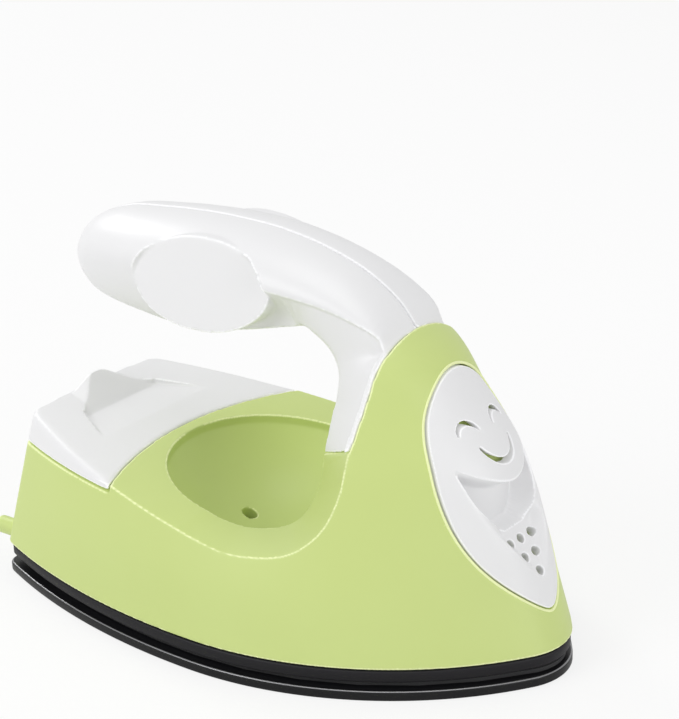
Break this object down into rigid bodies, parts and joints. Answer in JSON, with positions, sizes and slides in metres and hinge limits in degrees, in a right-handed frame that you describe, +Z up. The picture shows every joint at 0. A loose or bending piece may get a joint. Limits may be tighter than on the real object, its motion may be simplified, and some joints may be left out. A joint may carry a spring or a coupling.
{
  "type": "craft iron",
  "caption": "Small craft iron: teardrop soleplate, hull with a round dish, raised handle ending free at the rear, and a slotted nose cover.",
  "frame": {"origin": "centre of the whole iron's bounding box, heel pegs included, on the plane of the sole face", "axes": "+X towards the nose, +Y towards the left side as the user holds it, +Z up from the sole face"},
  "size_m": [0.105, 0.0636, 0.0649],
  "materials": {
    "green_plastic": "fine satin moulded plastic",
    "white_plastic": "smooth semi-gloss moulded plastic",
    "black_plastic": "heat-resistant satin plastic",
    "sole_coating": "dark non-stick coating on cast aluminium",
    "black_rubber": "matt rubber",
    "steel": "zinc plated",
    "brass": "plain stamped brass",
    "mica": "pressed mica sheet",
    "ceramic": "unglazed electrical ceramic",
    "aluminium": "drawn aluminium",
    "sleeve": "heat-resistant insulating sleeve"
  },
  "bodies": {
    "iron": {"body_shell": "green_plastic", "rear_cover": "white_plastic", "nose_cover": "white_plastic", "handle_left": "white_plastic", "handle_right": "white_plastic", "skirt_ring": "black_plastic", "insulating_gasket": "black_rubber", "soleplate": "sole_coating", "cord_gland": "black_rubber", "lower_mica_sheet": "mica", "upper_mica_sheet": "mica", "heating_element": "steel", "heater_clamp_plate": "steel", "clamp_screw_1": "steel", "clamp_screw_2": "steel", "clamp_screw_3": "steel", "clamp_screw_4": "steel", "skirt_screw_left": "steel", "skirt_screw_right": "steel", "skirt_screw_front": "steel", "dish_screw": "steel", "foot_screw_left": "steel", "foot_screw_right": "steel", "handle_screw_1": "steel", "handle_screw_2": "steel", "terminal_block": "ceramic", "terminal_tab_left": "brass", "terminal_tab_right": "brass", "thermal_fuse": "aluminium", "fuse_clip": "steel", "lead_to_fuse": "sleeve", "lead_to_thermostat": "sleeve", "thermostat_cup": "aluminium", "bimetal_disc": "steel", "thermostat_base": "black_plastic", "contact_post_hinge": "brass", "contact_post_fixed": "brass"},
    "pin": {"transfer_pin": "ceramic"},
    "blade": {"contact_blade": "brass"}
  },
  "joints": [
    {"name": "pin_slide", "type": "slide", "parent": "iron", "child": "pin", "axis": [0, 0, 1], "range_m": [0, 0.0004]},
    {"name": "blade_hinge", "type": "hinge", "parent": "iron", "child": "blade", "pos_m": [0.0272, 0, 0.01176], "axis": [0, -1, 0], "range_deg": [0, 4.78]}
  ],
  "couplings": [
    {"joint": "blade_hinge", "follows": "pin_slide", "rad_per_m": 208.3}
  ]
}
